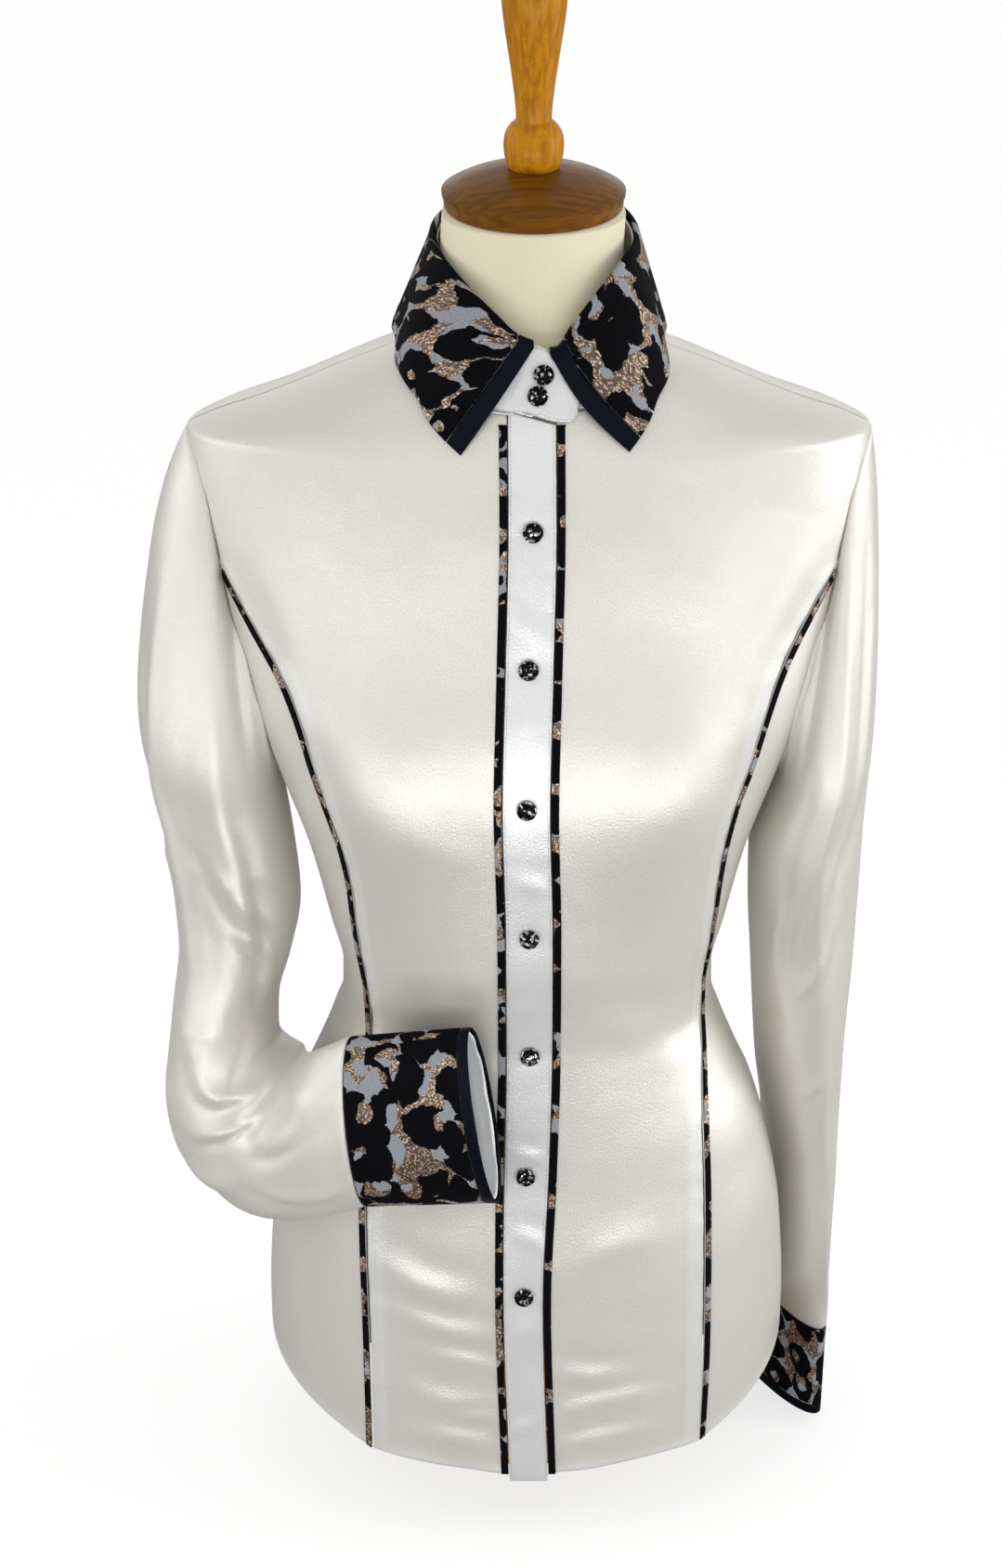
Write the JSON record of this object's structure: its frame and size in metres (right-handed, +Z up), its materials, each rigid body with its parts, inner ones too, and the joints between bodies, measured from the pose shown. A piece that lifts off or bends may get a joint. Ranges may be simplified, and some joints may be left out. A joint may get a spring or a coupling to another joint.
{
  "type": "western snap shirt on a dress form",
  "caption": "Fitted long-sleeved western shirt in satin with leopard brocade collar and cuffs, flat piping and snaps, on a limbless dress form with a small stand.",
  "frame": {"origin": "centre of the flat underside of the stand's round base", "axes": "+Z up through the pole and the finial, -Y out of the shirt's front, +X to the wearer's left"},
  "size_m": [0.4139, 0.2459, 0.8893],
  "materials": {
    "ivory_satin": "lustrous ivory satin",
    "white_satin": "lustrous white satin",
    "leopard_brocade": "black, silver and copper leopard brocade",
    "black_satin": "black satin with a blue sheen",
    "gunmetal": "dark polished metal",
    "ribbed_jersey": "cream fine-ribbed jersey",
    "dark_wood": "dark brown varnish",
    "warm_wood": "golden brown varnish"
  },
  "bodies": {
    "root": {"front_centre_right": "ivory_satin", "front_centre_left": "ivory_satin", "front_side_right": "ivory_satin", "front_side_left": "ivory_satin", "back": "ivory_satin", "sleeve_right": "ivory_satin", "sleeve_left": "ivory_satin", "placket_band": "white_satin", "collar_stand": "white_satin", "cuff_facing_right": "white_satin", "collar_leaf": "leopard_brocade", "cuff_right": "leopard_brocade", "cuff_left": "leopard_brocade", "placket_piping_right": "leopard_brocade", "placket_piping_left": "leopard_brocade", "princess_piping_right": "leopard_brocade", "princess_piping_left": "leopard_brocade", "collar_binding_right": "black_satin", "collar_binding_left": "black_satin", "cuff_binding_right": "black_satin", "cuff_binding_left": "black_satin", "placket_snap_1": "gunmetal", "placket_snap_2": "gunmetal", "placket_snap_3": "gunmetal", "placket_snap_4": "gunmetal", "placket_snap_5": "gunmetal", "placket_snap_6": "gunmetal", "placket_snap_7": "gunmetal", "stand_snap_upper": "gunmetal", "stand_snap_lower": "gunmetal", "cuff_snap_right_1": "gunmetal", "cuff_snap_right_2": "gunmetal", "cuff_snap_left_1": "gunmetal", "cuff_snap_left_2": "gunmetal", "form_torso": "ribbed_jersey", "neck_cap": "dark_wood", "finial": "warm_wood", "stand_pole": "warm_wood", "stand_base": "warm_wood"}
  },
  "joints": []
}
